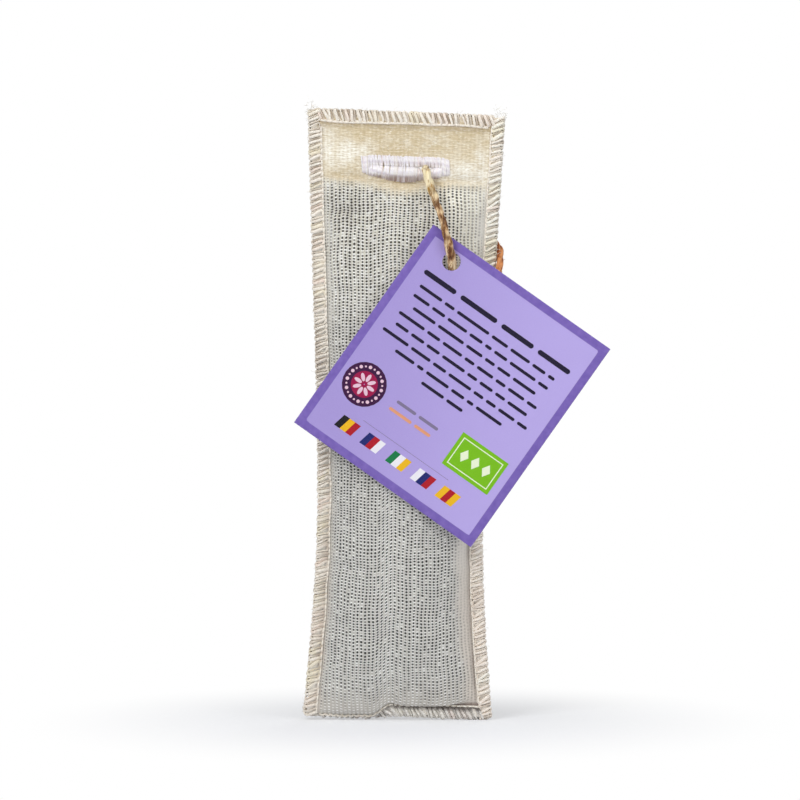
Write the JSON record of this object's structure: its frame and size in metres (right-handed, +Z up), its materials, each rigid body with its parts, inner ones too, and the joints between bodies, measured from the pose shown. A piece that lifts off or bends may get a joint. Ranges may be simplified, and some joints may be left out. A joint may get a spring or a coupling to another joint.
{
  "type": "lavender sachet",
  "caption": "Tall narrow cotton sachet with overlocked edges, a flat header with a stitched hanger slit, a seed filling, and a card tag on a loop of jute twine.",
  "frame": {"origin": "middle of the hanger slit, halfway through the cloth", "axes": "+Z up along the sachet, +X to the right seen from the front, the front towards -Y"},
  "size_m": [0.0937, 0.0251, 0.1835],
  "materials": {
    "cotton_cloth": "open plain weave, unbleached, matt",
    "lavender_seed_mix": "loose dry buds and seeds, matt",
    "overlock_thread": "spun thread, soft sheen",
    "needle_thread": "spun thread, soft sheen",
    "slit_thread": "satin stitched thread",
    "jute_twine": "twisted jute, hairy, matt",
    "tag_card": "coated card, satin"
  },
  "bodies": {
    "sachet": {"front_panel": "cotton_cloth", "back_panel": "cotton_cloth", "seed_filling": "lavender_seed_mix", "left_overlock": "overlock_thread", "right_overlock": "overlock_thread", "top_overlock": "overlock_thread", "bottom_overlock": "overlock_thread", "left_needle_thread": "needle_thread", "right_needle_thread": "needle_thread", "top_needle_thread": "needle_thread", "bottom_needle_thread": "needle_thread", "hanger_slit_stitching": "slit_thread", "twine_rear_upper": "jute_twine", "twine_rear_lower": "jute_twine", "twine_knot": "jute_twine"},
    "twine_loop": {"twine_front_loop": "jute_twine"},
    "tag": {"hang_tag": "tag_card"}
  },
  "joints": [
    {"name": "tag_lift", "type": "hinge", "parent": "sachet", "child": "twine_loop", "pos_m": [0.0065, -0.00395, -0.0028], "axis": [-0.6323, -0.0918, 0.7693], "range_deg": [0, 75]},
    {"name": "tag_turn", "type": "hinge", "parent": "twine_loop", "child": "tag", "pos_m": [0.0136, -0.0113, -0.0289], "axis": [0, 1, 0], "range_deg": [-50, 50]}
  ]
}
